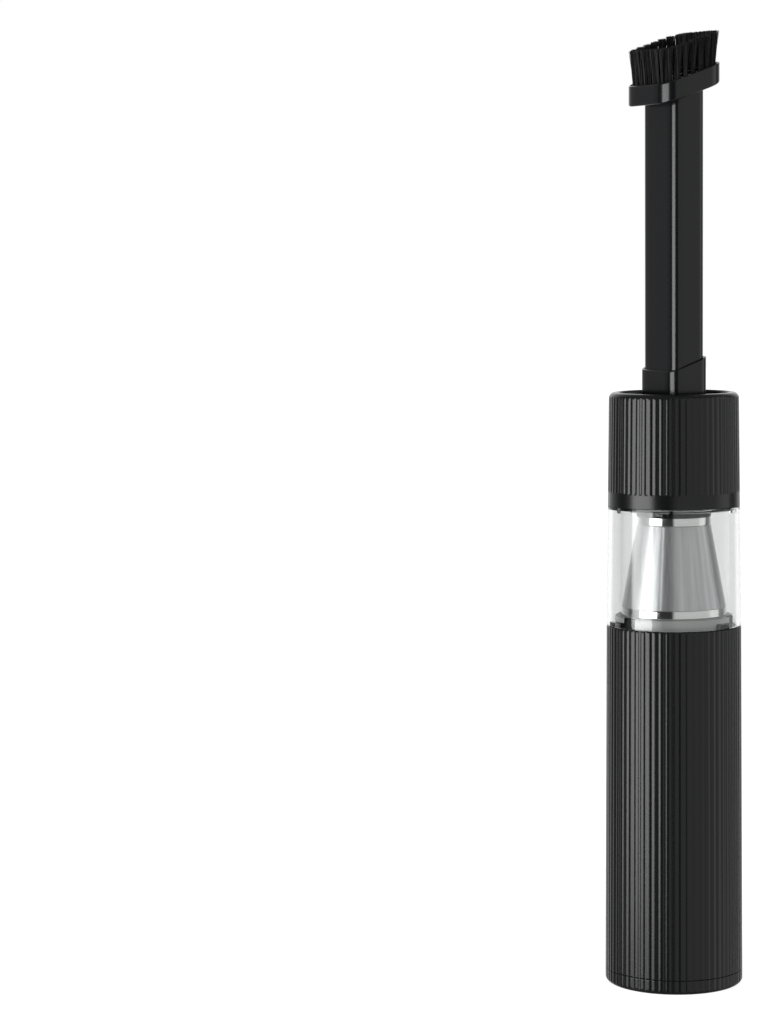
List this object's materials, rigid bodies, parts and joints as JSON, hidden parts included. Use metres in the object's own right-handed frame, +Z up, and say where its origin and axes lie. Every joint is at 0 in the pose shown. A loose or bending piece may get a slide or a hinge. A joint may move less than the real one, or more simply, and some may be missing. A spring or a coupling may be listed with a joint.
{
  "type": "handheld car vacuum cleaner",
  "caption": "Slim cordless car vacuum: reeded cylindrical handle, clear dust cup with cone filter, reeded inlet collar, flat crevice nozzle and slide-back dusting brush.",
  "frame": {"origin": "centre of the flat underside of the base cap, on the axis of the handle", "axes": "+Z up along the handle's axis towards the nozzle; +Y towards the thumb side, with the switch, where the mouths are highest; +X along the nozzle's wide way"},
  "size_m": [0.06, 0.06, 0.4144],
  "materials": {
    "casing": "satin charcoal-black moulded ABS",
    "inner_black": "matt black moulded ABS",
    "nozzle_black": "satin black moulded polypropylene",
    "button": "satin dark grey moulded ABS",
    "polished_steel": "polished stainless steel",
    "mesh_steel": "fine woven stainless mesh",
    "motor_steel": "plain steel",
    "screw_steel": "nickel-plated steel",
    "impeller_alloy": "machined aluminium",
    "winding": "enamelled copper wire",
    "board": "green solder mask",
    "cell_wrap": "shrink-wrapped cells",
    "lead_red": "PVC-insulated wire",
    "light_pipe": "frosted acrylic",
    "clear_cup": "clear polished polycarbonate",
    "filter_paper": "pleated fine filter paper",
    "seal_rubber": "matt black silicone rubber",
    "foam": "open-cell foam",
    "bristle": "black nylon bristles"
  },
  "bodies": {
    "handle": {"base_cap": "casing", "base_screws": "screw_steel", "control_board": "board", "board_components": "inner_black", "charge_port": "screw_steel", "lower_cell_holder": "inner_black", "battery_cells": "cell_wrap", "cell_tabs": "screw_steel", "upper_cell_holder": "inner_black", "power_leads": "lead_red", "motor_mount": "seal_rubber", "motor_can": "motor_steel", "motor_stator": "motor_steel", "motor_windings": "winding", "motor_bearings": "screw_steel", "motor_end_cap": "motor_steel", "diffuser": "inner_black", "fan_cover": "inner_black", "fan_mount": "seal_rubber", "exhaust_foam": "foam", "switch_board": "board", "tact_switch": "inner_black", "status_light": "light_pipe", "body_casing": "casing", "intake_seat": "inner_black", "bayonet_ring": "polished_steel", "cup_seal": "seal_rubber"},
    "rotor": {"rotor_shaft": "screw_steel", "rotor_magnet": "motor_steel", "impeller": "impeller_alloy"},
    "button": {"power_button": "button"},
    "filter": {"filter_base": "polished_steel", "filter_gasket": "seal_rubber", "filter_mesh": "mesh_steel", "filter_core": "filter_paper", "filter_top_ring": "polished_steel", "filter_cap": "inner_black"},
    "cup": {"dust_cup": "clear_cup"},
    "head": {"collar": "casing", "collar_seal": "seal_rubber", "inlet_sleeve": "nozzle_black"},
    "nozzle": {"nozzle_tube": "nozzle_black"},
    "brush": {"brush_ring": "nozzle_black", "bristles": "bristle"}
  },
  "joints": [
    {"name": "rotor_spin", "type": "hinge", "parent": "handle", "child": "rotor", "pos_m": [0, 0, 0.12], "axis": [0, 0, 1], "continuous": true},
    {"name": "button_press", "type": "slide", "parent": "handle", "child": "button", "axis": [0, -1, 0], "range_m": [0, 0.0008], "stiffness_N_per_m": 1500, "springref_m": -0.0006},
    {"name": "filter_lift", "type": "slide", "parent": "handle", "child": "filter", "axis": [0, 0, 1], "range_m": [0, 0.012]},
    {"name": "cup_twist", "type": "hinge", "parent": "handle", "child": "cup", "pos_m": [0, 0, 0.1575], "axis": [0, 0, 1], "range_deg": [0, 22]},
    {"name": "collar_twist", "type": "hinge", "parent": "cup", "child": "head", "pos_m": [0, 0, 0.2095], "axis": [0, 0, 1], "range_deg": [0, 14]},
    {"name": "nozzle_pull", "type": "slide", "parent": "head", "child": "nozzle", "axis": [0, 0, 1], "range_m": [0, 0.03]},
    {"name": "brush_slide", "type": "slide", "parent": "nozzle", "child": "brush", "axis": [0, 0, 1], "range_m": [-0.045, 0]}
  ]
}
